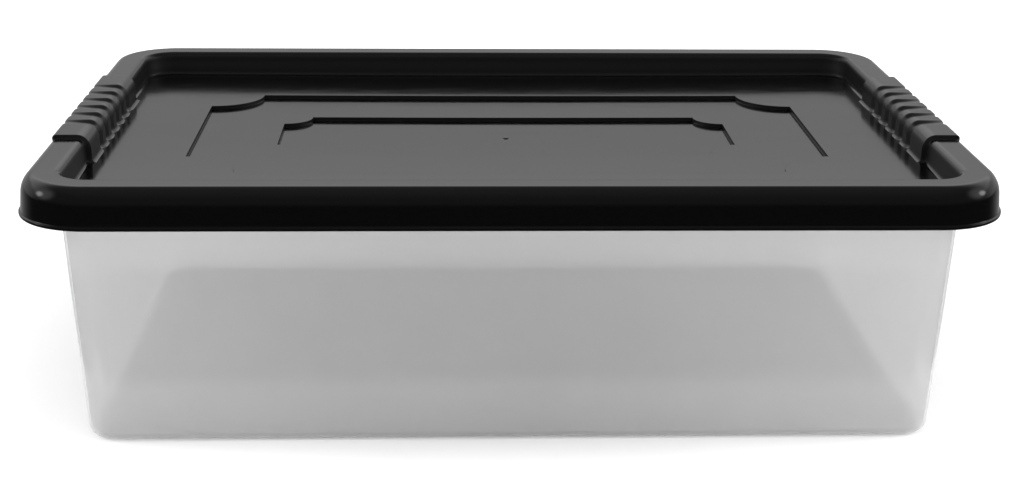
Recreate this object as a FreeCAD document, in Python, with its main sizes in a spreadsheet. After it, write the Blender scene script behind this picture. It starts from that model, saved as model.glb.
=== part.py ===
import FreeCAD, Part

import os
from math import radians

import Sketcher

# Under bed storage box: a clear tub with a black lid that lifts straight off.
# Millimetres. Origin at the centre of the base, X along the length, Z up.

doc = FreeCAD.newDocument("under_bed_box")

# Driving dimensions, in millimetres and degrees.
DIMENSIONS = {
    # lid, outside
    "lip_length": 600.0,       # over the thin lip at the skirt's lower edge
    "lip_width": 400.0,
    "lip_corner": 47.0,        # plan radius of the lip
    "lip_level": 150.5,        # underside of the lip above the ground
    "lip_thick": 2.0,
    "lip_reach": 0.9,          # how far the lip stands out from the skirt
    "skirt_draft": 5.0,
    "rim_top": 175.5,
    "rim_round": 9.0,
    "shell": 1.8,              # wall thickness of both mouldings
    # lid, recessed panel
    "recess_length": 546.0,
    "recess_width": 346.0,
    "recess_corner": 20.0,
    "recess_deep": 17.5,
    "recess_draft": 2.0,
    "recess_round": 4.8,       # where the rim turns down into the recess
    "cove_round": 3.0,         # where the recess wall meets the panel
    "channel_setback": 2.4,    # the rim's hollow narrows by this much beside the outer round
    "channel_round": 3.0,
    # lid, two stepped fields with notched corners
    "field_step": 2.7,
    "outer_field_length": 424.0,
    "outer_field_width": 206.0,
    "outer_field_notch": 35.0,
    "inner_field_length": 312.0,
    "inner_field_width": 94.0,
    "inner_field_notch": 19.0,
    "gate_radius": 2.0,
    "gate_tall": 0.6,
    # lid, grips
    "grip_length": 172.0,      # along the short end
    "grip_rise": 2.5,          # above the rim
    "grip_face": 269.4,        # from the centre to the grip's inner face
    "grip_outside": 293.0,
    "grip_round": 9.0,
    "grip_wall": 3.2,
    "groove_count": 6.0,
    "groove_pitch": 20.0,
    "groove_wide": 5.0,
    "groove_deep": 2.0,
    # tub
    "base_length": 538.0,
    "base_width": 332.0,
    "base_corner": 20.0,
    "tub_draft": 3.15,
    "shoulder_level": 146.0,
    "shoulder_rise": 4.0,      # the wall steps out by the same amount
    "floor_thick": 3.4,
    "foot_band": 26.0,         # width of the standing band round the base
    "foot_tall": 1.2,
    "base_round": 7.0,
    "floor_round": 5.0,
    "flange_length": 579.6,
    "flange_width": 379.6,
    "flange_corner": 39.5,
    "flange_top": 173.2,
    "flange_drop": 10.0,
}

sheet = doc.addObject("Spreadsheet::Sheet", "dims")
for row, (alias, value) in enumerate(DIMENSIONS.items(), start=1):
    sheet.set(f"A{row}", alias)
    sheet.set(f"B{row}", str(value))
    sheet.setAlias(f"B{row}", alias)
doc.recompute()

SHORT = 0.05  # how close an edge must be to a level to be picked there


def measure(expression):
    """Present value of an expression on the sheet."""
    return float(sheet.evalExpression(expression))


def origin_plane(body, role):
    """One of the body's own origin planes."""
    return next(item for item in body.Origin.OriginFeatures if item.Role == role)


def new_sketch(body, name, role="XY_Plane", level=None):
    """Empty sketch on an origin plane, lifted along the plane's normal by an expression."""
    sketch = body.newObject("Sketcher::SketchObject", name)
    sketch.AttachmentSupport = [(origin_plane(body, role), "")]
    sketch.MapMode = "FlatFace"
    if level:
        sketch.setExpression("AttachmentOffset.Base.z", level)
    return sketch


def outline(sketch, length, width, radius, concave=False):
    """Rectangle centred on the origin with its corners rounded, or notched when concave.

    length, width and radius are expressions on the sheet. A rounded corner's arc is centred
    inside the corner, a notch's arc on the corner itself.
    """
    inner = "0" if concave else f"({radius})"
    centre_x = f"({length}) / 2 - {inner}"
    centre_y = f"({width}) / 2 - {inner}"
    r = measure(radius)

    arcs = []
    for sign_x, sign_y, turn in ((1, 1, 0), (-1, 1, 90), (-1, -1, 180), (1, -1, 270)):
        centre = FreeCAD.Vector(sign_x * measure(centre_x), sign_y * measure(centre_y), 0)
        first = radians(turn + (180 if concave else 0))
        circle = Part.Circle(centre, FreeCAD.Vector(0, 0, 1), r)
        arc = sketch.addGeometry(Part.ArcOfCircle(circle, first, first + radians(90)), False)
        arcs.append(arc)
        for kind, reach, sign in (("DistanceX", centre_x, sign_x), ("DistanceY", centre_y, sign_y)):
            ends = (-1, 1, arc, 3) if sign > 0 else (arc, 3, -1, 1)
            index = sketch.addConstraint(Sketcher.Constraint(kind, *ends, measure(reach)))
            sketch.setExpression(f"Constraints[{index}]", reach)
        index = sketch.addConstraint(Sketcher.Constraint("Radius", arc, r))
        sketch.setExpression(f"Constraints[{index}]", radius)
        level_end, upright_end = (1, 2) if sign_x * sign_y > 0 else (2, 1)
        sketch.addConstraint(Sketcher.Constraint("Horizontal", arc, 3, arc, level_end))
        sketch.addConstraint(Sketcher.Constraint("Vertical", arc, 3, arc, upright_end))

    # a rounded corner is left by its arc's end, and a notch, which runs the other way, by its start
    leave, enter = (1, 2) if concave else (2, 1)
    for arc, following in zip(arcs, arcs[1:] + arcs[:1]):
        ends = sketch.getPoint(arc, leave), sketch.getPoint(following, enter)
        line = sketch.addGeometry(Part.LineSegment(*ends), False)
        sketch.addConstraint(Sketcher.Constraint("Coincident", line, 1, arc, leave))
        sketch.addConstraint(Sketcher.Constraint("Coincident", line, 2, following, enter))


def extrude(body, kind, name, sketch, length, taper=None, upward=True, midplane=False):
    """Pad or Pocket of a sketch by an expression, with an optional draft expression."""
    feature = body.newObject(f"PartDesign::{kind}", name)
    feature.Profile = sketch
    feature.setExpression("Length", length)
    if taper:
        feature.setExpression("TaperAngle", taper)
    # a pocket cuts against its sketch's normal unless it is reversed
    feature.Reversed = upward if kind == "Pocket" else not upward
    feature.Midplane = midplane
    sketch.Visibility = False
    before = body.Shape.Volume if body.Shape.Solids else 0.0
    doc.recompute()
    change = feature.Shape.Volume - before
    if (change <= 0) if kind == "Pad" else (change >= 0):
        raise RuntimeError(f"{name} changed nothing")
    return feature


def round_edges(body, name, base, radius, wanted):
    """Fillet of every edge of base that passes the wanted test."""
    names = [f"Edge{i}" for i, edge in enumerate(base.Shape.Edges, start=1) if wanted(edge)]
    if not names:
        raise RuntimeError(f"{name} found no edge")
    fillet = body.newObject("PartDesign::Fillet", name)
    fillet.Base = (base, names)
    fillet.setExpression("Radius", radius)
    doc.recompute()
    return fillet


def level_with(edge, z):
    """True when an edge lies wholly at one height."""
    box = edge.BoundBox
    return abs(box.ZMin - z) < SHORT and abs(box.ZMax - z) < SHORT


def reaches_beyond(edge, length, width):
    """True when an edge reaches outside a rectangle centred on the origin."""
    box = edge.BoundBox
    return max(box.XMax, -box.XMin) > length / 2 or max(box.YMax, -box.YMin) > width / 2


def polygon(sketch, corners):
    """Closed outline through corners, each a pair of expressions with an optional round.

    A corner given as (x, y, radius) is rounded by an arc tangent to both of its sides. Sides run
    along the sketch's axes.
    """
    points = [(measure(c[0]), measure(c[1])) for c in corners]
    rounds = [measure(c[2]) if len(c) > 2 else 0.0 for c in corners]
    count = len(corners)

    def towards(i, j, distance):
        """Point on the way from corner i to corner j."""
        a = FreeCAD.Vector(*points[i], 0)
        b = FreeCAD.Vector(*points[j], 0)
        return a + (b - a).normalize() * distance

    lines = []
    for i in range(count):
        j = (i + 1) % count
        a = towards(i, j, rounds[i])
        b = towards(j, i, rounds[j])
        line = sketch.addGeometry(Part.LineSegment(a, b), False)
        direction = "Horizontal" if abs(a.y - b.y) < SHORT else "Vertical"
        sketch.addConstraint(Sketcher.Constraint(direction, line))
        lines.append(line)

    for i, corner in enumerate(corners):
        before, after = lines[i - 1], lines[i]
        if rounds[i]:
            a = towards(i, i - 1, rounds[i])
            b = towards(i, (i + 1) % count, rounds[i])
            centre = a + b - FreeCAD.Vector(*points[i], 0)
            middle = centre + (FreeCAD.Vector(*points[i], 0) - centre).normalize() * rounds[i]
            arc = sketch.addGeometry(Part.Arc(a, middle, b), False)
            near = 1 if sketch.getPoint(arc, 1).distanceToPoint(a) < SHORT else 2
            sketch.addConstraint(Sketcher.Constraint("Tangent", before, 2, arc, near))
            sketch.addConstraint(Sketcher.Constraint("Tangent", after, 1, arc, 3 - near))
            index = sketch.addConstraint(Sketcher.Constraint("Radius", arc, rounds[i]))
            sketch.setExpression(f"Constraints[{index}]", corner[2])
        else:
            sketch.addConstraint(Sketcher.Constraint("Coincident", before, 2, after, 1))

    # each upright side is placed by its x, each level side by its y
    for i, line in enumerate(lines):
        a, b = sketch.getPoint(line, 1), sketch.getPoint(line, 2)
        upright = abs(a.x - b.x) < SHORT
        value, expression = (a.x, corners[i][0]) if upright else (a.y, corners[i][1])
        kind = "DistanceX" if upright else "DistanceY"
        index = sketch.addConstraint(Sketcher.Constraint(kind, -1, 1, line, 1, value))
        sketch.setExpression(f"Constraints[{index}]", expression)


def make_lid():
    """Black lid: hollow rim over a recessed, stepped panel, with a ribbed grip at each end."""
    body = doc.addObject("PartDesign::Body", "lid")
    body.Label = "lid"

    # solid block with the skirt's draft, and the thin lip at its foot
    sketch = new_sketch(body, "skirt_outline", level="dims.lip_level")
    outline(sketch, "dims.lip_length - 2 * dims.lip_reach", "dims.lip_width - 2 * dims.lip_reach",
            "dims.lip_corner - dims.lip_reach")
    extrude(body, "Pad", "skirt", sketch, "dims.rim_top - dims.lip_level", "-dims.skirt_draft")
    sketch = new_sketch(body, "lip_outline", level="dims.lip_level")
    outline(sketch, "dims.lip_length", "dims.lip_width", "dims.lip_corner")
    lip = extrude(body, "Pad", "lip", sketch, "dims.lip_thick")
    rim_top = measure("dims.rim_top")
    round_edges(body, "rim_outer_round", lip, "dims.rim_round", lambda e: level_with(e, rim_top))

    # recess, rounded into the rim and coved into the panel
    sketch = new_sketch(body, "recess_outline", level="dims.rim_top")
    outline(sketch, "dims.recess_length", "dims.recess_width", "dims.recess_corner")
    recess = extrude(body, "Pocket", "recess", sketch, "dims.recess_deep", "-dims.recess_draft",
                     upward=False)
    mouth = measure("dims.recess_length / 2") + SHORT
    rim = round_edges(body, "recess_mouth_round", recess, "dims.recess_round",
                      lambda e: level_with(e, rim_top) and e.BoundBox.XMax < mouth)
    panel = measure("dims.rim_top - dims.recess_deep")
    round_edges(body, "recess_cove", rim, "dims.cove_round", lambda e: level_with(e, panel))

    # two fields, each one step lower than what surrounds it
    for name, steps in (("outer_field", 1), ("inner_field", 2)):
        sketch = new_sketch(body, f"{name}_outline", level="dims.rim_top - dims.recess_deep")
        outline(sketch, f"dims.{name}_length", f"dims.{name}_width", f"dims.{name}_notch", concave=True)
        extrude(body, "Pocket", name, sketch, f"{steps} * dims.field_step", upward=False)

    # moulding gate mark in the middle
    sketch = new_sketch(body, "gate_outline", level="dims.rim_top - dims.recess_deep - 2 * dims.field_step")
    radius = measure("dims.gate_radius")
    circle = Part.Circle(FreeCAD.Vector(), FreeCAD.Vector(0, 0, 1), radius)
    ring = sketch.addGeometry(circle, False)
    sketch.addConstraint(Sketcher.Constraint("Coincident", ring, 3, -1, 1))
    index = sketch.addConstraint(Sketcher.Constraint("Radius", ring, radius))
    sketch.setExpression(f"Constraints[{index}]", "dims.gate_radius")
    extrude(body, "Pad", "gate_mark", sketch, "dims.gate_tall")

    # grip block over the rim at the +X end, mirrored to the other
    face, outside = "dims.grip_face", "dims.grip_outside"
    foot = "dims.rim_top - dims.recess_deep"
    top = "dims.rim_top + dims.grip_rise"
    sketch = new_sketch(body, "grip_profile", "XZ_Plane")
    polygon(sketch, [(face, foot), (outside, foot),
                     (outside, top, "dims.grip_rise"), (face, top, "dims.grip_round")])
    grip = extrude(body, "Pad", "grip", sketch, "dims.grip_length", midplane=True)
    mirrored(body, "grip_pair", grip)

    # one groove over the grip's top and down its inner face, repeated along and across
    deep, clear = "dims.groove_deep", "3 * dims.groove_deep"
    first_groove = "dims.groove_pitch * (dims.groove_count - 1) / 2"
    sketch = new_sketch(body, "groove_profile", "XZ_Plane", level=first_groove)
    polygon(sketch, [(f"{face} + {deep}", foot),
                     (f"{face} + {deep}", f"{top} - {deep}", f"dims.grip_round - {deep}"),
                     (f"{outside} + {clear}", f"{top} - {deep}"),
                     (f"{outside} + {clear}", f"{top} + {clear}"),
                     (f"{face} - {clear}", f"{top} + {clear}"),
                     (f"{face} - {clear}", foot)])
    groove = extrude(body, "Pocket", "groove", sketch, "dims.groove_wide", midplane=True)
    repeated(body, "grooves", groove)

    # underside: open channel in the rim, hollow grips, and the panel's underside following its steps
    level = "dims.lip_level"
    inside_length = "dims.lip_length - 2 * (dims.lip_reach + dims.shell)"
    inside_width = "dims.lip_width - 2 * (dims.lip_reach + dims.shell)"
    inside_corner = "dims.lip_corner - dims.lip_reach - dims.shell"
    panel_under = f"{foot} - dims.shell - dims.lip_level"
    undersides = (("under_all", None, "2"), ("under_outer", "inner_field", "1"),
                  ("under_rim", "outer_field", "0"))
    for name, island, lift in undersides:
        sketch = new_sketch(body, f"{name}_outline", level=level)
        outline(sketch, inside_length, inside_width, inside_corner)
        if island:
            outline(sketch, f"dims.{island}_length + 2 * dims.shell",
                    f"dims.{island}_width + 2 * dims.shell", f"dims.{island}_notch", concave=True)
        extrude(body, "Pocket", name, sketch, f"{panel_under} - {lift} * dims.field_step")

    # the channel is cut twice: wide up to the outer round, then narrower and rounded beneath it
    lean = "(dims.rim_top - dims.lip_level) * tan(dims.skirt_draft * 1deg)"
    below_round, below_rim = "dims.rim_top - dims.rim_round", "dims.rim_top - dims.shell"
    cuts = (("channel", lean, below_round), ("channel_top", f"{lean} + dims.channel_setback", below_rim))
    for name, setback, ceiling in cuts:
        sketch = new_sketch(body, f"{name}_outline", level=level)
        outline(sketch, f"{inside_length} - 2 * ({setback})", f"{inside_width} - 2 * ({setback})",
                inside_corner)
        outline(sketch, "dims.recess_length + 2 * dims.shell", "dims.recess_width + 2 * dims.shell",
                "dims.recess_corner + dims.shell")
        channel = extrude(body, "Pocket", name, sketch, f"{ceiling} - dims.lip_level")
    highest = measure(below_rim)
    inner_length = measure("dims.recess_length + 4 * dims.shell")
    inner_width = measure("dims.recess_width + 4 * dims.shell")
    round_edges(body, "channel_top_round", channel, "dims.channel_round",
                lambda e: level_with(e, highest) and reaches_beyond(e, inner_length, inner_width))

    sketch = new_sketch(body, "grip_hollow_profile", "XZ_Plane")
    wall = "dims.grip_wall"
    polygon(sketch, [(f"{face} + {wall}", level), (f"{outside} - {wall}", level),
                     (f"{outside} - {wall}", f"{top} - {wall}"),
                     (f"{face} + {wall}", f"{top} - {wall}", f"dims.grip_round - {wall}")])
    hollow = extrude(body, "Pocket", "grip_hollow", sketch, f"dims.grip_length - 2 * {wall}", midplane=True)
    mirrored(body, "grip_hollow_pair", hollow)
    return body


def mirrored(body, name, original):
    """The feature again on the other side of the YZ plane."""
    feature = body.newObject("PartDesign::Mirrored", name)
    feature.Originals = [original]
    feature.MirrorPlane = (origin_plane(body, "YZ_Plane"), [""])
    body.Tip = feature
    doc.recompute()
    return feature


def repeated(body, name, original):
    """The groove again along each grip and on the other side of the YZ plane."""
    feature = body.newObject("PartDesign::MultiTransform", name)
    feature.Originals = [original]
    row = body.newObject("PartDesign::LinearPattern", f"{name}_row")
    row.Direction = (origin_plane(body, "Y_Axis"), [""])
    row.setExpression("Length", "dims.groove_pitch * (dims.groove_count - 1)")
    row.setExpression("Occurrences", "dims.groove_count")
    pair = body.newObject("PartDesign::Mirrored", f"{name}_pair")
    pair.MirrorPlane = (origin_plane(body, "YZ_Plane"), [""])
    feature.Transformations = [row, pair]
    body.Tip = feature
    doc.recompute()
    return feature


def make_tub():
    """Clear tub: drafted walls, a shoulder, a flanged mouth with a turned-down edge, a standing band."""
    body = doc.addObject("PartDesign::Body", "tub")
    body.Label = "tub"

    sketch = new_sketch(body, "base_outline")
    outline(sketch, "dims.base_length", "dims.base_width", "dims.base_corner")
    walls = extrude(body, "Pad", "walls", sketch, "dims.shoulder_level", "dims.tub_draft")
    round_edges(body, "base_edge_round", walls, "dims.base_round", lambda e: level_with(e, 0.0))

    # shoulder: the mouth stands out from the walls, so that the lid's panel drops inside it
    lean = "2 * dims.shoulder_level * tan(dims.tub_draft * 1deg)"
    corner = "dims.base_corner + dims.shoulder_level * tan(dims.tub_draft * 1deg)"
    out_length, out_width = f"dims.base_length + {lean}", f"dims.base_width + {lean}"
    sketch = new_sketch(body, "shoulder_outline", level="dims.shoulder_level")
    outline(sketch, out_length, out_width, corner)
    extrude(body, "Pad", "shoulder", sketch, "dims.shoulder_rise", "45")
    mouth_length = f"{out_length} + 2 * dims.shoulder_rise"
    mouth_width = f"{out_width} + 2 * dims.shoulder_rise"
    mouth_corner = f"{corner} + dims.shoulder_rise"
    mouth_level = "dims.shoulder_level + dims.shoulder_rise"
    sketch = new_sketch(body, "mouth_outline", level=mouth_level)
    outline(sketch, mouth_length, mouth_width, mouth_corner)
    extrude(body, "Pad", "mouth", sketch, f"dims.flange_top - ({mouth_level})")
    sketch = new_sketch(body, "flange_outline", level="dims.flange_top - dims.shell")
    outline(sketch, "dims.flange_length", "dims.flange_width", "dims.flange_corner")
    extrude(body, "Pad", "flange", sketch, "dims.shell")
    sketch = new_sketch(body, "turned_edge_outline", level="dims.flange_top - dims.shell")
    outline(sketch, "dims.flange_length", "dims.flange_width", "dims.flange_corner")
    outline(sketch, "dims.flange_length - 2 * dims.shell", "dims.flange_width - 2 * dims.shell",
            "dims.flange_corner - dims.shell")
    extrude(body, "Pad", "turned_edge", sketch, "dims.flange_drop", upward=False)

    # inside, one shell thickness within the outside
    level = "dims.floor_thick"
    shrink = "2 * (dims.shell - dims.floor_thick * tan(dims.tub_draft * 1deg))"
    sketch = new_sketch(body, "cavity_outline", level=level)
    outline(sketch, f"dims.base_length - {shrink}", f"dims.base_width - {shrink}",
            "dims.base_corner - dims.shell")
    cavity_tall = f"dims.shoulder_level - {level}"
    cavity = extrude(body, "Pocket", "cavity", sketch, cavity_tall, "dims.tub_draft")
    floor = measure(level)
    round_edges(body, "floor_round", cavity, "dims.floor_round", lambda e: level_with(e, floor))
    sketch = new_sketch(body, "shoulder_inside_outline", level="dims.shoulder_level")
    outline(sketch, f"{out_length} - 2 * dims.shell", f"{out_width} - 2 * dims.shell",
            f"{corner} - dims.shell")
    extrude(body, "Pocket", "shoulder_inside", sketch, "dims.shoulder_rise", "45")
    sketch = new_sketch(body, "mouth_inside_outline", level=mouth_level)
    outline(sketch, f"{mouth_length} - 2 * dims.shell", f"{mouth_width} - 2 * dims.shell",
            f"{mouth_corner} - dims.shell")
    extrude(body, "Pocket", "mouth_inside", sketch, f"dims.flange_top - ({mouth_level})")

    # underside: the middle stands clear, so the box rests on a band round its base
    sketch = new_sketch(body, "foot_outline")
    outline(sketch, "dims.base_length - 2 * dims.foot_band", "dims.base_width - 2 * dims.foot_band",
            "dims.base_corner")
    extrude(body, "Pocket", "foot", sketch, "dims.foot_tall")
    return body


def check_and_write(bodies):
    """Stops on any failed object or bad shape, then writes one STEP file for each piece."""
    doc.recompute()
    for item in doc.Objects:
        if "Invalid" in item.State or "Error" in item.State:
            raise RuntimeError(f"{item.Name} failed: {item.State}")
    for body in bodies:
        if body.Shape.isNull() or not body.Shape.isValid() or len(body.Shape.Solids) != 1:
            raise RuntimeError(f"{body.Label} has a bad shape")
    os.makedirs("parts", exist_ok=True)
    for body in bodies:
        body.Shape.exportStep(os.path.join("parts", f"{body.Label}.step"))
        box = body.Shape.optimalBoundingBox(False, False)
        print(f"{body.Label}: {body.Shape.Volume / 1000:.1f} cm3, {box.XLength:.1f} x {box.YLength:.1f}"
              f" x {box.ZLength:.1f} mm, from z {box.ZMin:.1f}")


check_and_write([make_tub(), make_lid()])
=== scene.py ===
import logging
import math
from dataclasses import dataclass, field
from enum import Enum
from typing import Any

import bpy
import numpy as np
from mathutils import Matrix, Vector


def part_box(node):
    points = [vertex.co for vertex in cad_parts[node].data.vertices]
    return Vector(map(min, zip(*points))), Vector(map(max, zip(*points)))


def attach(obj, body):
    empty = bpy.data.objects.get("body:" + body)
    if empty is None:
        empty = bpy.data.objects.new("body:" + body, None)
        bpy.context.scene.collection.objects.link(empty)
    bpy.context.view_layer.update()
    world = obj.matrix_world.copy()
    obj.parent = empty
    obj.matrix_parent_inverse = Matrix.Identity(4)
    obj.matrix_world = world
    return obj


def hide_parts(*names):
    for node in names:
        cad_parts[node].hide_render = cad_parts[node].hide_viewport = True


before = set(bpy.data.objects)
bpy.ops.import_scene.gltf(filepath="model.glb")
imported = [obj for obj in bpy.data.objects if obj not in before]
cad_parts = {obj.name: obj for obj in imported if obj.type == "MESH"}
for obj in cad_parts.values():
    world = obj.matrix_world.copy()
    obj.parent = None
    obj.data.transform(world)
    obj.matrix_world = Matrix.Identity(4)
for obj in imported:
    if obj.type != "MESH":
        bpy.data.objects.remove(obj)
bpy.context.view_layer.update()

MM = 0.001  # metres in one millimetre; every size below is in millimetres unless it says otherwise
WALLS = "drafted_walls"
SHARP_ANGLE = math.radians(38)  # edges that turn more than this stay crisp

log = logging.getLogger("under_bed_box")


class Body(Enum):
    """Bodies of the frame that a moulding can ride on."""

    TUB = "tub"
    LID = "lid"


class Slot(Enum):
    """Material slots of the record."""

    FROSTED = "frosted_pp"
    BLACK = "black_pp"


# ---------------------------------------------------------------- surfaces


def smooth(value: np.ndarray, low: float, high: float) -> np.ndarray:
    """Ease from 0 at low to 1 at high: 3t^2 - 2t^3, where t is the way from low to high.

    Args:
        value: places to ease at.
        low: place where the result is 0.
        high: place where the result is 1; it may be below low.

    Returns:
        Array of the same shape, between 0 and 1.
    """
    t = np.clip((value - low) / (high - low), 0.0, 1.0)
    return t * t * (3.0 - 2.0 * t)


def arc(centre: tuple[float, float], radius: float, first: float, last: float, count: int) -> np.ndarray:
    """Points on an arc: centre + radius * (cos a, sin a), the angle a going evenly from first to last.

    Args:
        centre: middle of the arc in the section's plane.
        radius: its radius.
        first: starting angle in degrees.
        last: closing angle in degrees.
        count: number of points, both ends included.

    Returns:
        Array (count, 2).
    """
    angle = np.radians(np.linspace(first, last, count))
    return np.column_stack((centre[0] + radius * np.cos(angle), centre[1] + radius * np.sin(angle)))


def straight(first: tuple[float, float], last: tuple[float, float], count: int) -> np.ndarray:
    """Points on a straight line, both ends included.

    Args:
        first: starting point in the section's plane.
        last: closing point.
        count: number of points.

    Returns:
        Array (count, 2).
    """
    return np.linspace(first, last, count)


@dataclass(frozen=True)
class Columns:
    """Where a grid's columns stand round a four-sided outline.

    A column on a side is a fraction from -1 to 1 of the side's straight part. A column in a corner
    is a fraction between 0 and 1 of the corner's arc.
    """

    short_side: np.ndarray
    long_side: np.ndarray
    corner: np.ndarray


@dataclass(frozen=True)
class Outlines:
    """A stack of rectangles with shaped corners, one for each row of a grid.

    Every corner is an arc about its own centre. A round corner's arc turns from 0 to 90 degrees
    about a centre inside the corner, a notch's from 270 down to 180 about the corner itself.
    """

    half_x: np.ndarray
    half_y: np.ndarray
    centre_x: np.ndarray
    centre_y: np.ndarray
    radius: np.ndarray
    first: np.ndarray
    last: np.ndarray
    height: np.ndarray

    @classmethod
    def rounded(cls, half_x: Any, half_y: Any, radius: Any, height: Any) -> "Outlines":
        """Rectangles with round corners.

        Args:
            half_x: half lengths.
            half_y: half widths.
            radius: corner radii.
            height: levels.

        Returns:
            The stack.
        """
        given = (np.atleast_1d(np.asarray(value, float)) for value in (half_x, half_y, radius, height))
        a, b, r, z = np.broadcast_arrays(*given)
        return cls(a, b, a - r, b - r, r, np.zeros_like(a), np.full_like(a, math.pi / 2), z)

    @classmethod
    def notched(cls, corner_x: float, corner_y: float, notch: float, inset: Any, height: Any) -> "Outlines":
        """Rectangles with a quarter circle bitten from each corner, each drawn in from one outline.

        The arcs keep their centre, the first outline's corner, and grow as the sides move in:
        radius = notch + inset, and they begin where they meet the sides, asin(inset / radius)
        past the quarter's ends.

        Args:
            corner_x: half length of the first outline.
            corner_y: half width of the first outline.
            notch: radius of its notches.
            inset: how far in each outline's sides are.
            height: levels.

        Returns:
            The stack.
        """
        d, z = np.broadcast_arrays(np.atleast_1d(np.asarray(inset, float)), np.asarray(height, float))
        r = notch + d
        trim = np.arcsin(d / r)
        one = np.ones_like(d)
        return cls(corner_x - d, corner_y - d, corner_x * one, corner_y * one, r,
                   1.5 * math.pi - trim, math.pi + trim, z)

    def places(self, columns: Columns) -> np.ndarray:
        """Points of every row: side points by fractions, corner points centre + radius * (cos a, sin a).

        Args:
            columns: where the columns stand.

        Returns:
            Array (rows, columns, 3), anticlockwise from the middle of the +X end's lower half.
        """
        def row(values: np.ndarray) -> np.ndarray:
            """One value for each row, set upright so that it meets every column."""
            return values[:, None]

        turn = row(self.first) + (row(self.last) - row(self.first)) * columns.corner
        arc_x = row(self.centre_x) + row(self.radius) * np.cos(turn)
        arc_y = row(self.centre_y) + row(self.radius) * np.sin(turn)
        end_x = row(self.centre_x + self.radius * np.cos(self.last)) * columns.long_side
        end_y = row(self.centre_y + self.radius * np.sin(self.first)) * columns.short_side
        side_x = row(self.half_x) + 0.0 * end_y
        side_y = row(self.half_y) + 0.0 * end_x
        back = slice(None, None, -1)
        x = np.hstack((side_x, arc_x, -end_x, -arc_x[:, back], -side_x, -arc_x, end_x, arc_x[:, back]))
        y = np.hstack((end_y, arc_y, side_y, arc_y[:, back], -end_y, -arc_y, -side_y, -arc_y[:, back]))
        return np.dstack((x, y, row(self.height) + 0.0 * x))


def between(first: np.ndarray, last: np.ndarray, count: int) -> np.ndarray:
    """Rows that blend evenly from one row to another, both left out: first + t * (last - first).

    Args:
        first: row (columns, 3).
        last: row (columns, 3).
        count: number of rows.

    Returns:
        Array (count, columns, 3).
    """
    t = np.linspace(0.0, 1.0, count + 2)[1:-1, None, None]
    return first + t * (last - first)


def rings(row: np.ndarray, radii: np.ndarray, heights: np.ndarray) -> np.ndarray:
    """Circles about the Z axis whose columns keep the bearings they have on a given row.

    Args:
        row: row (columns, 3) that gives the bearings, atan2(y, x).
        radii: radius of each circle.
        heights: level of each circle.

    Returns:
        Array (circles, columns, 3).
    """
    bearing = np.arctan2(row[:, 1], row[:, 0])
    x = radii[:, None] * np.cos(bearing)
    y = radii[:, None] * np.sin(bearing)
    return np.dstack((x, y, heights[:, None] + 0.0 * x))


def closed_skin(name: str, grid: np.ndarray, first_pole: float, last_pole: float) -> bpy.types.Object:
    """Object from a grid of points that closes on itself round each row and at a pole at each end.

    Four neighbours make a face: (row, column), (row + 1, column), (row + 1, column + 1),
    (row, column + 1). The first and last rows are closed by fans about points on the Z axis.

    Args:
        name: name of the piece.
        grid: points (rows, columns, 3) in millimetres.
        first_pole: level of the point that closes the first row.
        last_pole: level of the point that closes the last row.

    Returns:
        The object, at the origin, with smooth shading and crisp edges where it turns sharply.
    """
    rows, columns = grid.shape[:2]
    poles = np.array([[0.0, 0.0, first_pole], [0.0, 0.0, last_pole]])
    points = np.vstack((grid.reshape(-1, 3), poles)) * MM
    index = np.arange(rows * columns).reshape(rows, columns)
    onward = np.roll(index, -1, axis=1)
    quads = np.stack((index[:-1], index[1:], onward[1:], onward[:-1]), axis=-1).reshape(-1, 4)
    start, end = rows * columns, rows * columns + 1
    fan = np.stack((np.full(columns, start), index[0], onward[0]), axis=-1)
    far_fan = np.stack((index[-1], np.full(columns, end), onward[-1]), axis=-1)
    mesh = bpy.data.meshes.new(name)
    mesh.from_pydata(points, [], quads.tolist() + fan.tolist() + far_fan.tolist())
    mesh.validate()
    mesh.shade_smooth()
    mesh.set_sharp_from_angle(angle=SHARP_ANGLE)
    piece = bpy.data.objects.new(name, mesh)
    bpy.context.scene.collection.objects.link(piece)
    level = piece.modifiers.new("flat_faces_stay_flat", "WEIGHTED_NORMAL")
    level.keep_sharp = True
    return piece


# ---------------------------------------------------------------- finishes


def linear(colour: str) -> tuple[float, float, float, float]:
    """Linear colour of an sRGB hex value.

    Args:
        colour: "#rrggbb".

    Returns:
        Red, green, blue and an alpha of 1.
    """
    parts = (int(colour[i:i + 2], 16) / 255 for i in (1, 3, 5))
    r, g, b = (c / 12.92 if c <= 0.04045 else ((c + 0.055) / 1.055) ** 2.4 for c in parts)
    return r, g, b, 1.0


def add_node(tree: bpy.types.NodeTree, kind: str, inputs: dict[Any, Any] | None = None,
             **settings: Any) -> bpy.types.Node:
    """Adds a node, sets its properties and feeds its sockets.

    Args:
        tree: tree to add to.
        kind: the node's type name.
        inputs: constants or output sockets by the input's name or number.
        settings: properties of the node.

    Returns:
        The node.
    """
    node = tree.nodes.new(kind)
    for key, value in settings.items():
        setattr(node, key, value)
    for key, value in (inputs or {}).items():
        if isinstance(value, bpy.types.NodeSocket):
            tree.links.new(value, node.inputs[key])
        else:
            node.inputs[key].default_value = value
    return node


def empty_material(name: str) -> tuple[bpy.types.Material, bpy.types.NodeTree]:
    """New material with an empty node tree.

    Args:
        name: name of the material.

    Returns:
        The material and its tree.
    """
    material = bpy.data.materials.new(name)
    material.use_nodes = True
    material.node_tree.nodes.clear()
    return material, material.node_tree


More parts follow.
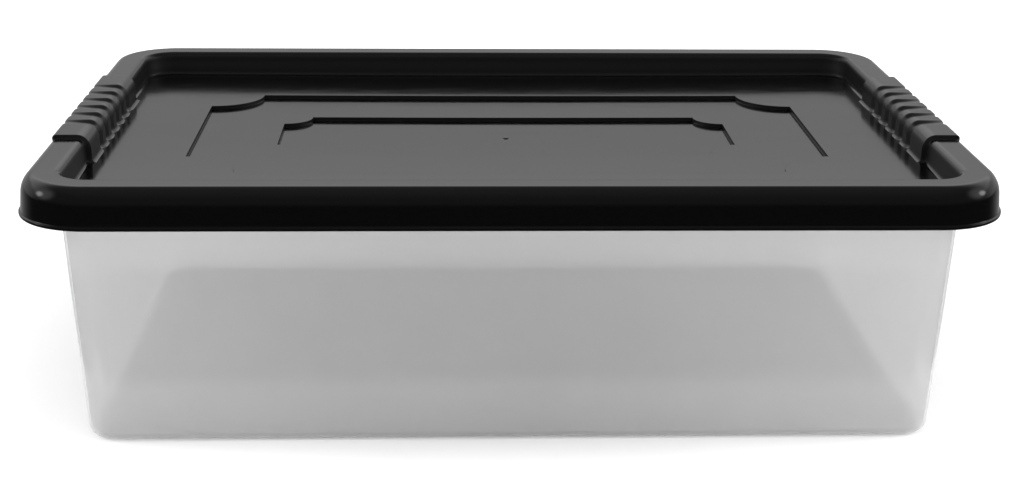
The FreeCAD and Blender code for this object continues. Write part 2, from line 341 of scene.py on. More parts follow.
@dataclass(frozen=True)
class GlossPolypropylene:
    """Black polypropylene, injection moulded in a polished tool.

    The eye sees a near black body, clear reflections that stretch a little with the flow of the
    plastic, a faint orange peel and fine handling scuffs that only show where a light is mirrored.
    """

    name: str = "black_polypropylene_gloss_moulded"
    colour: str = "#050506"
    ior: float = 1.49
    gloss: float = 0.5           # specular level of the polished faces
    roughness_low: float = 0.10
    roughness_high: float = 0.17
    wall_painted_light_colour: str = "#121213"  # the steep walls of the recess keep the tool's dull finish; their lighter grey is painted light, standing in for the light these walls catch
    wall_gloss: float = 0.3
    wall_roughness: float = 0.45
    peel: float = 2.2            # grain of the orange peel
    peel_tall: float = 0.004
    flow: float = 70.0           # length of the sinks and waves left by cooling
    flow_tall: float = 0.05
    scuff: float = 9.0           # spacing of the faint scuffs
    scuff_stretch: tuple[float, float, float] = (0.25, 1.0, 1.0)

    def material(self) -> bpy.types.Material:
        """Builds the material."""
        material, tree = empty_material(self.name)
        place = add_node(tree, "ShaderNodeTexCoord").outputs["Object"]
        stretched = add_node(tree, "ShaderNodeMapping", {"Vector": place, "Scale": self.scuff_stretch})
        scuffs = add_node(tree, "ShaderNodeTexNoise", {
            "Vector": stretched.outputs["Vector"], "Scale": 1 / (self.scuff * MM),
            "Detail": 6.0, "Roughness": 0.7})
        sheen = add_node(tree, "ShaderNodeMapRange", {
            "Value": scuffs.outputs["Fac"], "From Min": 0.35, "From Max": 0.75,
            "To Min": self.roughness_low, "To Max": self.roughness_high})
        peel = add_node(tree, "ShaderNodeTexNoise", {
            "Vector": place, "Scale": 1 / (self.peel * MM), "Detail": 2.0})
        fine = add_node(tree, "ShaderNodeBump", {
            "Height": peel.outputs["Fac"], "Distance": self.peel_tall * MM})
        flow = add_node(tree, "ShaderNodeTexNoise", {
            "Vector": place, "Scale": 1 / (self.flow * MM), "Detail": 2.0})
        wavy = add_node(tree, "ShaderNodeBump", {
            "Height": flow.outputs["Fac"], "Distance": self.flow_tall * MM,
            "Normal": fine.outputs["Normal"]})
        walls = add_node(tree, "ShaderNodeAttribute", attribute_name=WALLS).outputs["Fac"]
        rough = add_node(tree, "ShaderNodeMapRange", {
            "Value": walls, "To Min": sheen.outputs["Result"], "To Max": self.wall_roughness})
        gloss = add_node(tree, "ShaderNodeMapRange", {
            "Value": walls, "To Min": self.gloss, "To Max": self.wall_gloss})
        # the steep walls get the lighter colour, painted light standing in for the light they catch; the mix
        # node's sixth and seventh sockets are its two colours, its output 2 the mixed one
        body = add_node(tree, "ShaderNodeMix", {
            "Factor": walls, 6: linear(self.colour), 7: linear(self.wall_painted_light_colour)},
            data_type="RGBA").outputs[2]
        surface = add_node(tree, "ShaderNodeBsdfPrincipled", {
            "Base Color": body, "IOR": self.ior, "Specular IOR Level": gloss.outputs["Result"],
            "Roughness": rough.outputs["Result"], "Normal": wavy.outputs["Normal"]})
        add_node(tree, "ShaderNodeOutputMaterial", {"Surface": surface.outputs["BSDF"]})
        return material


@dataclass(frozen=True)
class FrostedPolypropylene:
    """Natural polypropylene, injection moulded with a fine matt tool texture.

    The eye sees a milky, colourless wall: what is behind it shows through softened and greyer, and
    light that enters the wall spreads inside it, with faint clouds where the plastic flowed.
    """

    name: str = "natural_polypropylene_frosted_moulded"
    colour: str = "#dadada"
    ior: float = 1.49
    roughness: float = 0.16
    clear: float = 0.6           # share of light that goes straight through one face of the wall
    spread: float = 0.5          # share of the rest that comes out on the far side
    cloud: float = 90.0          # size of the clouds left by the flow
    cloud_strength: float = 0.015
    grain: float = 1.1           # tool texture, drawn three times as coarse as it is so that it shows
    grain_tall: float = 0.02

    def material(self) -> bpy.types.Material:
        """Builds the material."""
        material, tree = empty_material(self.name)
        place = add_node(tree, "ShaderNodeTexCoord").outputs["Object"]
        grain = add_node(tree, "ShaderNodeTexNoise", {
            "Vector": place, "Scale": 1 / (self.grain * MM), "Detail": 3.0})
        matt = add_node(tree, "ShaderNodeBump", {
            "Height": grain.outputs["Fac"], "Distance": self.grain_tall * MM})
        clouds = add_node(tree, "ShaderNodeTexNoise", {
            "Vector": place, "Scale": 1 / (self.cloud * MM), "Detail": 4.0})
        share = add_node(tree, "ShaderNodeMapRange", {
            "Value": clouds.outputs["Fac"], "From Min": 0.3, "From Max": 0.7,
            "To Min": self.clear - self.cloud_strength, "To Max": self.clear + self.cloud_strength})
        surface = add_node(tree, "ShaderNodeBsdfPrincipled", {
            "Base Color": linear(self.colour), "IOR": self.ior, "Roughness": self.roughness,
            "Specular IOR Level": 0.0, "Normal": matt.outputs["Normal"]})
        inside = add_node(tree, "ShaderNodeBsdfTranslucent", {
            "Color": linear(self.colour), "Normal": matt.outputs["Normal"]})
        milk = add_node(tree, "ShaderNodeMixShader", {
            "Fac": self.spread, 1: surface.outputs["BSDF"], 2: inside.outputs["BSDF"]})
        through = add_node(tree, "ShaderNodeBsdfTransparent", {"Color": linear("#ffffff")})
        wall = add_node(tree, "ShaderNodeMixShader", {
            "Fac": share.outputs["Result"], 1: milk.outputs["Shader"], 2: through.outputs["BSDF"]})
        back = add_node(tree, "ShaderNodeNewGeometry").outputs["Backfacing"]
        outer = add_node(tree, "ShaderNodeMath", {0: 1.0, 1: back}, operation="SUBTRACT")
        bright = add_node(tree, "ShaderNodeFresnel", {"IOR": self.ior, "Normal": matt.outputs["Normal"]})
        mirrored = add_node(tree, "ShaderNodeMath", {
            0: bright.outputs["Fac"], 1: outer.outputs["Value"]}, operation="MULTIPLY")
        gloss = add_node(tree, "ShaderNodeBsdfAnisotropic", {
            "Color": linear("#ffffff"), "Roughness": self.roughness, "Normal": matt.outputs["Normal"]})
        face = add_node(tree, "ShaderNodeMixShader", {
            "Fac": mirrored.outputs["Value"], 1: wall.outputs["Shader"], 2: gloss.outputs["BSDF"]})
        add_node(tree, "ShaderNodeOutputMaterial", {"Surface": face.outputs["Shader"]})
        return material


@dataclass(frozen=True)
class StudioPaper:
    """Seamless white studio paper: an even, dull white with a faint fibre grain."""

    name: str = "white_paper_seamless"
    colour: str = "#f4f4f4"
    fibre: float = 3.0
    fibre_tall: float = 0.05

    def material(self) -> bpy.types.Material:
        """Builds the material."""
        material, tree = empty_material(self.name)
        place = add_node(tree, "ShaderNodeTexCoord").outputs["Object"]
        fibre = add_node(tree, "ShaderNodeTexNoise", {
            "Vector": place, "Scale": 1 / (self.fibre * MM), "Detail": 3.0})
        rough = add_node(tree, "ShaderNodeBump", {
            "Height": fibre.outputs["Fac"], "Distance": self.fibre_tall * MM})
        surface = add_node(tree, "ShaderNodeBsdfDiffuse", {
            "Color": linear(self.colour), "Roughness": 0.5, "Normal": rough.outputs["Normal"]})
        add_node(tree, "ShaderNodeOutputMaterial", {"Surface": surface.outputs["BSDF"]})
        return material


@dataclass(frozen=True)
class SoftGlow:
    """White cloth tent lit from outside: bright low down behind the object, dim above and in front."""

    name: str = "white_tent_glow"
    radius_m: float = 8.0
    floor_glow: float = 0.02
    floor_back: float = 0.5       # the floor far behind, seen mirrored at the silhouette
    front_glow: float = 0.1
    top_glow: float = 0.2
    back_low: float = 0.5
    back_high: float = 0.95
    horizon: tuple[float, float] = (-0.02, 0.02)      # the heights between which the floor gives way
    back_rise: tuple[float, float] = (0.26, 0.38)
    back_fall: tuple[float, float] = (0.55, 0.85)
    front_rise: tuple[float, float] = (-0.03, 0.25)
    front_top: tuple[float, float] = (0.5, 0.98)
    front_to_back: tuple[float, float] = (-0.2, 0.4)  # the depths between which front gives way to back
    floor_to_back: tuple[float, float] = (0.1, 1.0)
    lamp_glow: tuple[float, float] = (0.8, 4.0)       # a soft window in front of a bright lamp, each side
    lamp_size: tuple[float, float] = (0.36, 0.15)     # half width as a share of the tent's radius
    lamp_bearing: tuple[tuple[float, float, float], ...] = ((0.88, -0.14, 0.38), (0.93, -0.02, 0.31))

    def material(self) -> bpy.types.Material:
        """Builds the material: a smooth function of the bearing, z for height and y for depth."""
        material, tree = empty_material(self.name)
        place = add_node(tree, "ShaderNodeTexCoord").outputs["Object"]
        unit = add_node(tree, "ShaderNodeMapping", {"Vector": place, "Scale": (1 / self.radius_m,) * 3})
        axes = add_node(tree, "ShaderNodeSeparateXYZ", {"Vector": unit.outputs["Vector"]})

        height, depth = axes.outputs["Z"], axes.outputs["Y"]

        def ease(value: Any, band: tuple[float, float], start: Any, end: Any) -> bpy.types.NodeSocket:
            """Smooth step from start to end while the value crosses the band."""
            return add_node(tree, "ShaderNodeMapRange", {
                "Value": value, "From Min": band[0], "From Max": band[1], "To Min": start, "To Max": end},
                interpolation_type="SMOOTHSTEP").outputs["Result"]

        rise = ease(height, self.back_rise, self.back_low, self.back_high)
        back = ease(height, self.back_fall, rise, self.top_glow)
        near = ease(height, self.front_rise, self.floor_glow, self.front_glow)
        front = ease(height, self.front_top, near, self.top_glow)
        glow = ease(depth, self.front_to_back, front, back)
        below = ease(depth, self.floor_to_back, self.floor_glow, self.floor_back)
        level = ease(height, self.horizon, below, glow)
        for bearing, size, lamp in zip(self.lamp_bearing, self.lamp_size, self.lamp_glow):
            for side in (-1, 1):
                way = (side * bearing[0], *bearing[1:])
                away = add_node(tree, "ShaderNodeVectorMath", {0: unit.outputs["Vector"], 1: way},
                                operation="DISTANCE").outputs["Value"]
                level = ease(away, (size, 0.4 * size), level, lamp)
        light = add_node(tree, "ShaderNodeEmission", {"Strength": level})
        add_node(tree, "ShaderNodeOutputMaterial", {"Surface": light.outputs["Emission"]})
        material.cycles.emission_sampling = "NONE"
        return material


# ---------------------------------------------------------------- mouldings


def dress(piece: bpy.types.Object, finish: Any, body: Body) -> None:
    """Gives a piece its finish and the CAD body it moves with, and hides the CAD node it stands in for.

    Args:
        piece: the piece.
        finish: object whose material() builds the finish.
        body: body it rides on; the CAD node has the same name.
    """
    piece.data.materials.append(finish.material())
    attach(piece, body.value)
    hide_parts(body.value)


@dataclass
class Lid:
    """Black lid: hollow rim, recessed panel with two stepped fields, a ribbed grip at each end."""

    lip_corner: float = 47.0
    lip_thick: float = 2.0
    lip_reach: float = 0.9
    lip_edge: float = 0.5         # round of the lip's thin edge
    flare_tall: float = 1.2       # the skirt sweeps out to the lip over this height
    draft: float = 5.0
    rim_drop: float = 2.5         # rim below the grips' tops
    rim_round: float = 5.6        # from the flat top down to where the outside slopes rim_turn
    rim_turn: float = 43.0
    side_round: float = 16.0      # from there down to the skirt
    shell: float = 1.8
    recess_half: float = 273.0    # from the centre to the recess wall along X
    recess_corner: float = 20.0
    recess_deep: float = 17.0
    recess_draft: float = 2.0
    long_lean: float = 1.3        # how much further the long walls of the recess lean in at their foot
    bow: tuple[float, float] = (1.0, -0.6)   # rise of the panel at its short and long edges above its middle
    recess_round: float = 4.8
    cove_round: float = 3.0
    step: float = 2.7
    step_round: float = 0.3
    outer_field: tuple[float, float, float] = (212.0, 103.0, 35.0)   # half length, half width, notch
    inner_field: tuple[float, float, float] = (156.0, 47.0, 19.0)
    gate_radius: float = 2.0
    gate_tall: float = 0.6
    grip_half: float = 86.0
    grip_slope: float = 2.0       # length over which a grip rises out of the rim
    grip_face: float = 269.4
    grip_outside: float = 294.0
    grip_round: float = 9.0
    grip_wall: float = 2.8
    groove_count: int = 6
    groove_pitch: float = 20.0
    groove_floor: float = 0.3     # half width of a groove's floor
    groove_mouth: float = 6.4     # half width of its mouth
    groove_deep: float = 1.9
    column_gap: float = 7.65      # between the mesh's columns where nothing needs them closer
    skirt_rows: int = 6
    side_rows: int = 9            # rows in the lower part of the rim's outer round
    finish: GlossPolypropylene = field(default_factory=GlossPolypropylene)

    def __post_init__(self) -> None:
        """Takes the outer sizes and levels from the frame."""
        low, high = (np.array(corner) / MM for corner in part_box(Body.LID.value))
        self.half_x, self.half_y = high[0], high[1]
        self.lip_level = low[2]
        self.rim_top = high[2] - self.rim_drop
        self.panel = self.rim_top - self.recess_deep
        self.recess_half_y = self.half_y - (self.half_x - self.recess_half)

    def columns(self) -> Columns:
        """Columns that crowd at the grooves and at the grips' ends, and are even elsewhere."""
        straight_half = self.half_y - self.lip_corner
        grooves = (np.arange(self.groove_count) - (self.groove_count - 1) / 2) * self.groove_pitch
        flank = np.linspace(self.groove_floor, self.groove_mouth, 7)
        groove = np.concatenate((-flank[::-1], [0.0], flank))
        spare, clear = 0.4, 2.0
        ends = self.grip_half - np.linspace(-spare, self.grip_slope + spare, 8)
        even = np.arange(-straight_half, straight_half + 1, self.column_gap)
        dense = np.concatenate(((grooves[:, None] + groove).ravel(), ends, -ends))
        far = np.abs(even[:, None] - dense).min(axis=1) > clear
        places = np.concatenate((even[far], dense, [-straight_half, straight_half]))
        return Columns(np.unique(np.round(places / straight_half, 6)), np.linspace(-1, 1, 41),
                       np.linspace(0, 1, 26)[1:-1])

    def rim_section(self, inward: float) -> np.ndarray:
        """Half section of the plain rim from the panel's edge to the skirt's foot.

        Each corner is an arc; the faces between are straight and tangent to them. A face further
        into the plastic by inward has its outer arcs smaller and its cove larger by as much.

        Args:
            inward: 0 for the outside, the wall's thickness for the inside.

        Returns:
            Array (points, 2) of distance in from the lip's edge, and level.
        """
        lean = math.tan(math.radians(self.draft))
        tilt = math.tan(math.radians(self.recess_draft))
        mouth = self.half_x - self.recess_half - self.recess_round
        top = self.rim_top - self.recess_round
        wall = mouth + self.recess_round
        foot = self.panel + self.cove_round
        cove_x = wall + (top - foot) * tilt + self.cove_round
        shoulder = self.rim_top - self.rim_round
        turn, tangent = math.radians(self.rim_turn), math.radians(self.draft)
        spare = self.side_round - self.rim_round
        side_z = shoulder - spare * math.sin(turn)
        meet = side_z + self.side_round * math.sin(tangent)
        side_x = self.lip_reach + (meet - self.lip_level) * lean + self.side_round * math.cos(tangent)
        outer_x = side_x - spare * math.cos(turn)
        cove = arc((cove_x, foot), self.cove_round + inward, 270, 180 + self.recess_draft, 8)
        inner = arc((mouth, top), self.recess_round - inward, self.recess_draft, 90, 12)
        upper = arc((outer_x, shoulder), self.rim_round - inward, 90, 180 - self.rim_turn, 8)
        lower = arc((side_x, side_z), self.side_round - inward, 180 - self.rim_turn, 180 - self.draft, 8)
        outer = np.vstack((upper, lower[1:]))
        low = self.lip_level + (self.flare_tall + self.lip_thick if inward == 0 else 0.0)
        skirt = (self.lip_reach + (low - self.lip_level) * lean + inward, low)
        return np.vstack((cove, straight(cove[-1], inner[0], 8)[1:-1], inner,
                          straight(inner[-1], outer[0], 8)[1:-1], outer,
                          straight(outer[-1], skirt, self.skirt_rows + 1)[1:]))

    def grip_section(self, inward: float, carved: float = 0.0) -> np.ndarray:
        """Half section through a grip, point for point beside rim_section.

        Args:
            inward: how far into the plastic the section lies.
            carved: depth of a groove down the face and over the top, where it is half as deep at the
                block's outer edge; the cove slides out by as much.

        Returns:
            Array (points, 2) of distance in from the lip's edge, and level.
        """
        plain = self.rim_section(self.shell if inward else 0.0)
        face = self.half_x - self.grip_face
        outside = self.half_x - self.grip_outside
        top = self.rim_top + self.rim_drop
        foot = self.panel + self.cove_round
        edge = self.rim_drop
        deep = inward + carved
        cove = arc((face + self.cove_round - carved, foot), self.cove_round + inward, 270, 180, 8)
        inner = arc((face - self.grip_round, top - self.grip_round), self.grip_round - deep, 0, 90, 12)
        shallow, least = inward + 0.5 * carved, 0.2
        rise = arc((outside + edge, top - edge), max(edge - shallow, least), 90, 180, 6)
        rise[:, 0] = np.maximum(rise[:, 0], outside + shallow)
        rise[:, 1] -= max(shallow - edge + least, 0.0)
        skirt = plain[-self.skirt_rows:]
        below = plain[-self.skirt_rows - self.side_rows:-self.skirt_rows]
        if not inward:
            # the block's edge takes the first row's place, so the rest spread over the same rows
            below = below[np.linspace(1, self.side_rows - 1, self.side_rows).round().astype(int)]
        return np.vstack((cove, straight(cove[-1], inner[0], 8)[1:-1], inner,
                          straight(inner[-1], rise[0], 8)[1:-1], rise, below, skirt))

    def loops(self, section: np.ndarray, columns: Columns) -> np.ndarray:
        """Carries a section round the lid: each point becomes an outline drawn in from the lip's edge.

        Args:
            section: points (distance in, level).
            columns: where the columns stand.

        Returns:
            Array (points, columns, 3).
        """
        inset = section[:, 0]
        shrink = (self.lip_corner - self.recess_corner) / (self.half_x - self.recess_half)
        radius = self.lip_corner - inset * shrink
        outlines = Outlines.rounded(self.half_x - inset, self.half_y - inset, radius, section[:, 1])
        return outlines.places(columns)

    def rim(self, columns: Columns, inward: float) -> np.ndarray:
        """Rim with its grips: the plain section eases into the grip's where the grips are.

        The share of the grip is an ease of |y| over its end slope, and the share of the groove
        inside it is an ease of the distance to the nearest groove's centre.

        Args:
            columns: where the columns stand.
            inward: 0 for the outside, the wall's thickness for the inside.

        Returns:
            Array (rows, columns, 3).
        """
        plain = self.loops(self.rim_section(inward), columns)
        block = self.loops(self.grip_section(self.grip_wall if inward else 0.0), columns)
        y = plain[..., 1]
        share = smooth(np.abs(y), self.grip_half, self.grip_half - self.grip_slope)
        if not inward:
            carved = self.loops(self.grip_section(0.0, self.groove_deep), columns)
            half_count = self.groove_count / 2
            nearest = np.clip(np.floor(y / self.groove_pitch), -half_count, half_count - 1) + 0.5
            away = np.abs(y - nearest * self.groove_pitch)
            groove = smooth(away, self.groove_mouth, self.groove_floor)[..., None]
            block = block + groove * (carved - block)
        return plain + share[..., None] * (block - plain)

    def field_edge(self, size: tuple[float, float, float], upper: float, out: float,
                   columns: Columns) -> np.ndarray:
        """Riser round a field, from its top edge to its foot, both eased by small arcs.

        Args:
            size: half length, half width and notch radius.
            upper: level of the surface outside the field.
            out: how far the riser is moved out; 0 on top, the wall's thickness below.
            columns: where the columns stand.

        Returns:
            Array (rows, columns, 3) going inwards.
        """
        r = self.step_round
        top = arc((-out - r, upper - r), r, 90, 0, 4)
        foot = arc((-out + r, upper - self.step + r), r, 180, 270, 4)
        path = np.vstack((top, foot))
        return Outlines.notched(*size, path[:, 0], path[:, 1]).places(columns)

    def panel_rows(self, columns: Columns, edge: np.ndarray, out: float) -> np.ndarray:
        """Rows from the panel's edge to the gate mark in its middle.

        Args:
            columns: where the columns stand.
            edge: the row at the cove's end.
            out: 0 on top, the wall's thickness below.

        Returns:
            Array (rows, columns, 3) going inwards.
        """
        level = edge[0, 2]
        # a plain outline just clear of the grips' feet, so that nothing of them runs on into the panel
        beside = self.half_x - self.grip_face + self.cove_round + 2 * self.grip_wall
        clear = self.loops(np.array([[beside, level]]), columns)
        outer = self.field_edge(self.outer_field, level, out, columns)
        inner = self.field_edge(self.inner_field, level - self.step, out, columns)
        low = level - 2 * self.step
        tall = 0.0 if out else self.gate_tall
        radii = self.gate_radius * np.array([3.0, 1.5, 1.15, 1.0, 0.85, 0.5])
        raised = low + tall * smooth(radii, 1.2 * self.gate_radius, 0.8 * self.gate_radius)
        gate = rings(inner[-1], radii, raised)
        return np.vstack((between(edge, clear[0], 3), clear, between(clear[0], outer[0], 6), outer,
                          between(outer[-1], inner[0], 5), inner,
                          between(inner[-1], gate[0], 6), gate))

    def lip(self, columns: Columns) -> np.ndarray:
        """Lip round the skirt's foot: a hollow sweep out from the skirt, a rounded edge, a flat below.

        The sweep is a quarter ellipse: in = edge + (reach - edge) * cos a, up = flare * (1 - sin a).

        Args:
            columns: where the columns stand.

        Returns:
            Array (rows, columns, 3) going down and in.
        """
        foot = self.lip_level
        lean = math.tan(math.radians(self.draft))
        reach = self.lip_reach + (self.flare_tall + self.lip_thick) * lean
        edge = self.lip_edge
        turn = np.radians(np.linspace(0, 90, 8))[1:]
        sweep = np.column_stack((edge + (reach - edge) * np.cos(turn),
                                 foot + self.lip_thick + self.flare_tall * (1 - np.sin(turn))))
        bead = arc((edge, foot + self.lip_thick - edge), edge, 90, 180, 4)
        under = arc((edge, foot + edge), edge, 180, 270, 4)
        section = np.vstack((sweep, bead[1:], under))
        return self.loops(section, columns)

    def bowed(self, grid: np.ndarray) -> np.ndarray:
        """Bends the panel slightly: rise = bow_x (x / half length)^2 + bow_y (y / half width)^2.

        The recess also narrows by long_lean (y / half width), so that its long walls lean in more
        than its short ones. Both ease in down the wall and are nothing in the rim and the skirt.

        Args:
            grid: points (rows, columns, 3).

        Returns:
            The bent points.
        """
        x, y, z = np.moveaxis(grid, -1, 0)
        across = x / self.recess_half
        along = y / self.recess_half_y
        inside = smooth(np.maximum(np.abs(across), np.abs(along)), 1.012, 1.0)
        share = inside * smooth(z, self.rim_top - self.recess_round, self.panel + self.cove_round)
        rise = self.bow[0] * across ** 2 + self.bow[1] * along ** 2
        narrowed = y - share * self.long_lean * along
        return np.stack((x, narrowed, z + share * rise), axis=-1)

    def mark_walls(self, piece: bpy.types.Object) -> None:
        """Marks the steep faces inside the recess, which get a duller finish and a base colour painted
        lighter to stand in for the light they catch: 1 where upright, 0 where the face is nearly level.

        The share is an ease of the normal's |z| from 0.75 down to 0.35, within the recess's mouth,
        and it fades from 1.5 mm to 3.5 mm beyond the recess's wall.

        Args:
            piece: the moulding.
        """
        vertices = piece.data.vertices
        place, normal = np.empty(3 * len(vertices)), np.empty(3 * len(vertices))
        vertices.foreach_get("co", place)
        vertices.foreach_get("normal", normal)
        place, normal = np.abs(place.reshape(-1, 3)) / MM, np.abs(normal.reshape(-1, 3))
        beyond = (place[:, :2] - (self.recess_half, self.recess_half_y)).max(axis=1)
        inside = smooth(beyond, 3.5, 1.5)
        mark = piece.data.attributes.new(WALLS, "FLOAT", "POINT")
        mark.data.foreach_set("value", (inside * smooth(normal[:, 2], 0.75, 0.35)).astype(np.float32))

    def build(self) -> bpy.types.Object:
        """Builds the moulding and dresses it.

        Returns:
            The piece.
        """
        columns = self.columns()
        outside = self.rim(columns, 0.0)
        inside = self.rim(columns, self.shell)[::-1]
        upper = self.panel_rows(columns, outside[0], 0.0)[::-1]
        lower = self.panel_rows(columns, inside[-1], self.shell)
        grid = self.bowed(np.vstack((upper, outside, self.lip(columns), inside, lower)))
        piece = closed_skin("lid_moulding", grid, grid[0, 0, 2], grid[-1, 0, 2])
        self.mark_walls(piece)
        dress(piece, self.finish, Body.LID)
        return piece


@dataclass
class Tub:
    """Frosted tub: drafted walls, a shoulder, a flanged mouth with a turned-down edge, a standing band."""

    base_half_x: float = 269.0
    base_half_y: float = 166.0
    base_corner: float = 20.0
    draft: float = 3.15
    shoulder_level: float = 146.0
    shoulder_rise: float = 4.0
    shoulder_round: float = 2.5
    shell: float = 1.8
    floor_thick: float = 3.4
    foot_band: float = 26.0
    foot_tall: float = 1.2
    base_round: float = 7.0
    floor_round: float = 5.0
    flange_corner: float = 39.5
    flange_drop: float = 10.0
    flange_round: float = 1.6
    finish: FrostedPolypropylene = field(default_factory=FrostedPolypropylene)

    def __post_init__(self) -> None:
        """Takes the flange's size and level from the frame."""
        high = np.array(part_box(Body.TUB.value)[1]) / MM
        self.flange_x, self.flange_y, self.top = high

    def columns(self) -> Columns:
        """Even columns, close enough for the round corners."""
        return Columns(np.linspace(-1, 1, 31), np.linspace(-1, 1, 45), np.linspace(0, 1, 22)[1:-1])

    def wall_out(self, level: float) -> float:
        """How far the drafted wall stands outside the base outline at a level."""
        return level * math.tan(math.radians(self.draft))

    def loops(self, section: np.ndarray, columns: Columns) -> np.ndarray:
        """Carries a section round the tub: each point is an outline drawn out from the base outline.

        Args:
            section: points (distance out, level).
            columns: where the columns stand.

        Returns:
            Array (points, columns, 3).
        """
        out = section[:, 0]
        return Outlines.rounded(self.base_half_x + out, self.base_half_y + out,
                                np.maximum(self.base_corner + out, 2.0), section[:, 1]).places(columns)

    def wall_section(self, inward: float) -> np.ndarray:
        """Half section of the wall from the base's flat to the flange's foot.

        Args:
            inward: 0 for the outside, the wall's thickness for the inside.

        Returns:
            Array (points, 2) of distance out from the base outline, and level.
        """
        r = self.floor_round if inward else self.base_round
        low = self.floor_thick if inward else 0.0
        turn = math.radians(self.draft)
        up_wall = np.array((math.sin(turn), math.cos(turn)))
        centre_z = low + r
        centre_x = self.wall_out(centre_z - r * up_wall[0]) - inward - r * up_wall[1]
        base = arc((centre_x, centre_z), r, 270, 360 - self.draft, 9)
        knee = np.array((self.wall_out(self.shoulder_level) - inward, self.shoulder_level))
        mouth = knee + self.shoulder_rise
        up_shoulder = np.array((1, 1)) / math.sqrt(2)
        before = knee - self.shoulder_round * up_wall
        after = knee + self.shoulder_round * up_shoulder
        below = mouth - self.shoulder_round * up_shoulder
        above = mouth + self.shoulder_round * np.array((0, 1))
        top = (mouth[0], self.top - (0.0 if inward else self.shell) - self.flange_round)
        return np.vstack((base, straight(base[-1], before, 16)[1:], self.bend(before, knee, after),
                          self.bend(below, mouth, above), straight(above, top, 5)[1:]))

    @staticmethod
    def bend(first: np.ndarray, corner: Any, last: np.ndarray) -> np.ndarray:
        """Rounds a corner: the parabola (1-t)^2 first + 2t(1-t) corner + t^2 last.

        Args:
            first: where the bend begins.
            corner: the sharp corner.
            last: where it ends.

        Returns:
            Array (points, 2).
        """
        t = np.linspace(0, 1, 6)[:, None]
        return (1 - t) ** 2 * first + 2 * t * (1 - t) * np.array(corner) + t ** 2 * last

    def flange(self, columns: Columns, mouth: float) -> np.ndarray:
        """Flange and its turned-down edge, from the mouth's inner edge over the top and back below.

        The outline eases from the mouth's corner radius to the flange's own.

        Args:
            columns: where the columns stand.
            mouth: distance out of the mouth's outer face.

        Returns:
            Array (rows, columns, 3).
        """
        r, t, bevel = self.flange_round, self.shell, 0.3
        edge = self.flange_x - self.base_half_x
        low = self.top - t - self.flange_drop
        path = np.vstack((
            arc((mouth - t + r, self.top - r), r, 180, 90, 5),
            arc((edge - r, self.top - r), r, 90, 0, 5),
            arc((edge - t / 2, low + t / 2), t / 2, 0, -180, 7),
            [(edge - t, self.top - t - bevel), (edge - t - bevel, self.top - t)],
            arc((mouth + r, self.top - t - r), r, 90, 180, 5)))
        out, level = path.T
        share = np.clip((out - mouth) / (edge - mouth), 0, 1)
        plain = self.base_corner + out
        own = self.flange_corner - (edge - out)
        return Outlines.rounded(self.base_half_x + out, self.base_half_y + out,
                                plain + share * (own - plain), level).places(columns)

    def foot(self, columns: Columns) -> np.ndarray:
        """Step from the standing band up to the underside's raised middle.

        The step goes in by r * (1 - cos a), r being half its height, as it rises.

        Args:
            columns: where the columns stand.

        Returns:
            Array (rows, columns, 3) going inwards.
        """
        a = np.radians(np.linspace(0, 90, 4))
        out = np.append(0.0, -self.foot_tall / 2 * (1 - np.cos(a))) - self.foot_band
        level = np.append(0.0, np.linspace(self.foot_tall / 8, self.foot_tall, 4))
        return Outlines.rounded(self.base_half_x + out, self.base_half_y + out,
                                self.base_corner, level).places(columns)

    def build(self) -> bpy.types.Object:
        """Builds the moulding and dresses it.

        Returns:
            The piece.
        """
        columns = self.columns()
        inside = self.loops(self.wall_section(self.shell), columns)
        outside = self.loops(self.wall_section(0.0), columns)[::-1]
        mouth = self.wall_out(self.shoulder_level) + self.shoulder_rise
        foot = self.foot(columns)
        centre = rings(foot[-1], np.array([30.0, 8.0]), np.full(2, self.foot_tall))
        floor = rings(inside[0], np.array([8.0, 30.0]), np.full(2, self.floor_thick))
        grid = np.vstack((floor, between(floor[-1], inside[0], 8), inside, self.flange(columns, mouth),
                          outside, between(outside[-1], foot[0], 3), foot,
                          between(foot[-1], centre[0], 7), centre))
        piece = closed_skin("tub_moulding", grid, self.floor_thick, self.foot_tall)
        dress(piece, self.finish, Body.TUB)
        return piece


# ---------------------------------------------------------------- studio


def only_mirrored(item: bpy.types.Object) -> None:
    """Leaves an object to be seen in reflections alone.

    Args:
        item: the object.
    """
    for ray in ("camera", "diffuse", "transmission", "shadow"):
        setattr(item, f"visible_{ray}", False)


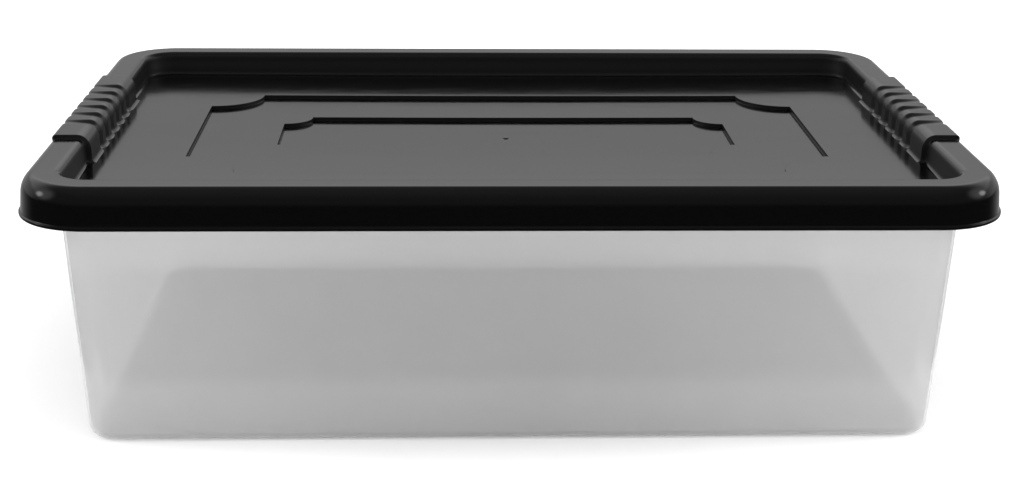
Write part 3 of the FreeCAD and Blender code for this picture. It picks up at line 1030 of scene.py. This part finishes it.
@dataclass
class Studio:
    """White paper floor, a soft white tent of light and the camera."""

    floor_half_m: float = 40.0
    floor_gap_m: float = 0.0002      # keeps the paper from lying in the plane of the tub's foot
    sky: float = 1.25
    side_light: tuple[float, float] = (1.2, 1.7)     # strength of the light from the left and from the right
    side_height: float = 35.0        # degrees above the floor
    side_spread: float = 25.0        # degrees across; the wider, the softer
    sheet_front_m: float = -0.243    # front edge of the sheet that the object mirrors
    sheet_half_m: float = 0.36
    camera_place: tuple[float, float, float] = (-0.0426, -1.1587, 0.4663)
    camera_turn: float = 2.36        # degrees to the right of straight along +Y
    camera_dip: float = 18.67        # degrees below the horizon
    camera_roll: float = 0.64
    lens: float = 60.42              # on a sensor 36 mm wide
    paper: StudioPaper = field(default_factory=StudioPaper)
    glow: SoftGlow = field(default_factory=SoftGlow)

    def sheet(self, name: str, half: float, front: float, level: float) -> bpy.types.Object:
        """Flat sheet of paper from a front edge to far behind the object.

        Args:
            name: name of the sheet.
            half: half of its width in metres.
            front: y of its front edge in metres.
            level: its height in metres.

        Returns:
            The sheet.
        """
        back = self.floor_half_m
        mesh = bpy.data.meshes.new(name)
        corners = [(-half, front, level), (half, front, level), (half, back, level), (-half, back, level)]
        mesh.from_pydata(corners, [], [(0, 1, 2, 3)])
        mesh.materials.append(self.paper.material())
        sheet = bpy.data.objects.new(name, mesh)
        bpy.context.scene.collection.objects.link(sheet)
        return sheet

    def floor(self) -> None:
        """Wide pale floor, and over it the sheet that the glossy faces mirror, which ends in front."""
        floor = self.sheet("studio_floor", self.floor_half_m, -self.floor_half_m, -self.floor_gap_m)
        floor.visible_glossy = False
        mirrored = self.sheet("studio_sheet", self.sheet_half_m, self.sheet_front_m,
                              -self.floor_gap_m / 2)
        only_mirrored(mirrored)

    def tent(self) -> None:
        """Ball of lit cloth round everything, seen only as reflections.

        A point is radius * (cos e cos a, cos e sin a, sin e), e the height angle and a the bearing.
        """
        rows = np.radians(np.linspace(-88, 88, 45))
        bearing = np.linspace(0, 2 * math.pi, 96, endpoint=False)
        e, a = np.meshgrid(rows, bearing, indexing="ij")
        radius = self.glow.radius_m / MM
        grid = radius * np.dstack((np.cos(e) * np.cos(a), np.cos(e) * np.sin(a), np.sin(e)))
        tent = closed_skin("studio_tent", grid, -radius, radius)
        tent.data.materials.append(self.glow.material())
        only_mirrored(tent)

    def world(self) -> None:
        """Even white light from all round for dull surfaces and for the backdrop."""
        world = bpy.data.worlds.new("studio_light")
        world.use_nodes = True
        tree = world.node_tree
        tree.nodes.clear()
        white = add_node(tree, "ShaderNodeBackground", {"Color": linear("#ffffff"), "Strength": self.sky})
        add_node(tree, "ShaderNodeOutputWorld", {"Surface": white.outputs["Background"]})
        world.cycles_visibility.glossy = False
        bpy.context.scene.world = world
        bpy.context.scene.view_settings.view_transform = "Standard"

    def camera(self) -> None:
        """Camera whose axes follow from its turn, dip and roll.

        forward = (cos d sin t, cos d cos t, -sin d); right = (cos t, -sin t, 0); up = right x forward;
        the roll turns right and up about forward.
        """
        t, d, r = (math.radians(a) for a in (self.camera_turn, self.camera_dip, self.camera_roll))
        forward = np.array([math.cos(d) * math.sin(t), math.cos(d) * math.cos(t), -math.sin(d)])
        right = np.array([math.cos(t), -math.sin(t), 0.0])
        up = np.cross(right, forward)
        rolled_right = right * math.cos(r) + up * math.sin(r)
        rolled_up = up * math.cos(r) - right * math.sin(r)
        data = bpy.data.cameras.new("studio_camera")
        data.lens = self.lens
        data.clip_end = 200.0
        camera = bpy.data.objects.new("studio_camera", data)
        bpy.context.scene.collection.objects.link(camera)
        turned = Matrix(np.column_stack((rolled_right, rolled_up, -forward)).tolist()).to_4x4()
        camera.matrix_world = Matrix.Translation(self.camera_place) @ turned
        bpy.context.scene.camera = camera

    def side_lights(self) -> None:
        """Broad soft light from each side, which fills the box through its end walls."""
        for sign, strength in zip((-1, 1), self.side_light):
            data = bpy.data.lights.new("studio_side", "SUN")
            data.energy = strength
            data.angle = math.radians(self.side_spread)
            light = bpy.data.objects.new("studio_side", data)
            light.rotation_euler = (0.0, sign * math.radians(90 - self.side_height), 0.0)
            light.visible_glossy = False
            bpy.context.scene.collection.objects.link(light)

    def build(self) -> None:
        """Builds the whole studio."""
        self.side_lights()
        self.floor()
        self.tent()
        self.world()
        self.camera()


def main() -> None:
    """Builds the mouldings and the studio, and reports each piece."""
    logging.basicConfig(level=logging.INFO, format="%(message)s")
    for part in (Tub(), Lid()):
        piece = part.build()
        log.info("%s: %d faces", piece.name, len(piece.data.polygons))
    Studio().build()


if __name__ == "__main__":
    main()
